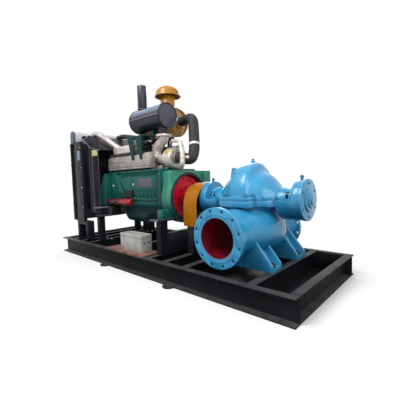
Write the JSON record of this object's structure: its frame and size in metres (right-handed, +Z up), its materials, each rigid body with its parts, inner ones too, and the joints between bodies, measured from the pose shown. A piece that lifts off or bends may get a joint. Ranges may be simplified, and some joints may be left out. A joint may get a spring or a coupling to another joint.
{
  "type": "split case pump",
  "caption": "Horizontal split case double-suction pump driven by a diesel engine with radiator, muffler and air cleaner, built together on a steel channel skid.",
  "frame": {"origin": "centre of the skid's underside", "axes": "+X along the shafts from the radiator to the pump, -Y the side of the suction flange, +Z up"},
  "size_m": [3.64, 1.53, 2.3097],
  "materials": {
    "pump_blue": "glossy sprayed enamel over casting",
    "engine_green": "sprayed enamel over casting",
    "pale_green": "sprayed enamel over casting",
    "pan_green": "sprayed enamel on pressed steel",
    "flywheel_red": "satin enamel",
    "guard_yellow": "satin enamel on sheet",
    "cleaner_gold": "satin enamel on sheet",
    "skid_black": "satin enamel on rolled steel",
    "satin_black": "satin enamel on steel",
    "radiator_grey": "dull finned metal",
    "hose_black": "matt rubber hose",
    "muffler_grey": "heat-proof paint on sheet",
    "cast_silver": "cast and silver painted",
    "bright_steel": "turned steel",
    "box_grey": "moulded case",
    "board_brown": "primed plate",
    "filter_red": "enamelled can"
  },
  "bodies": {
    "set": {"air_cleaner": "cleaner_gold", "battery_box": "box_grey", "bearing_bracket_drive_end": "pump_blue", "bearing_bracket_free_end": "pump_blue", "bearing_cap_drive_end": "pump_blue", "bearing_cap_free_end": "pump_blue", "board": "board_brown", "bottom_tank": "radiator_grey", "casing_lower": "pump_blue", "casing_upper": "pump_blue", "charge_pipe": "cast_silver", "cleaner_bracket": "engine_green", "coupling_guard": "guard_yellow", "cross_engine_front": "skid_black", "cross_engine_middle": "skid_black", "cross_engine_rear": "skid_black", "cross_guard": "skid_black", "cross_pump_inner": "skid_black", "cross_pump_outer": "skid_black", "cross_radiator_front": "skid_black", "cross_radiator_rear": "skid_black", "cylinder_heads": "satin_black", "end_beam_pump": "skid_black", "end_beam_radiator": "skid_black", "engine_block": "engine_green", "exhaust_elbow": "cast_silver", "exhaust_stack": "muffler_grey", "fan_guard_far": "satin_black", "fan_guard_near": "satin_black", "fan_shroud": "satin_black", "flywheel_housing": "pale_green", "guard_stand": "satin_black", "hood_panel": "satin_black", "intake_cover": "cast_silver", "intake_hose": "hose_black", "muffler": "muffler_grey", "muffler_bracket": "engine_green", "oil_filter_front": "filter_red", "oil_filter_rear": "filter_red", "oil_pan": "pan_green", "post_front_far": "satin_black", "post_front_near": "satin_black", "radiator_core": "radiator_grey", "radiator_leg_far": "satin_black", "radiator_leg_near": "satin_black", "rail_far": "skid_black", "rail_near": "skid_black", "rain_cap": "cleaner_gold", "rear_support": "satin_black", "side_frame_far": "satin_black", "side_frame_near": "satin_black", "starter_box": "pale_green", "timing_case": "engine_green", "top_tank": "radiator_grey", "turbocharger": "cast_silver"},
    "rotor": {"flywheel": "flywheel_red", "coupling": "satin_black", "pump_shaft": "bright_steel"}
  },
  "joints": [
    {"name": "rotor_spin", "type": "hinge", "parent": "set", "child": "rotor", "pos_m": [0.4, 0, 0.8], "axis": [1, 0, 0], "continuous": true}
  ]
}
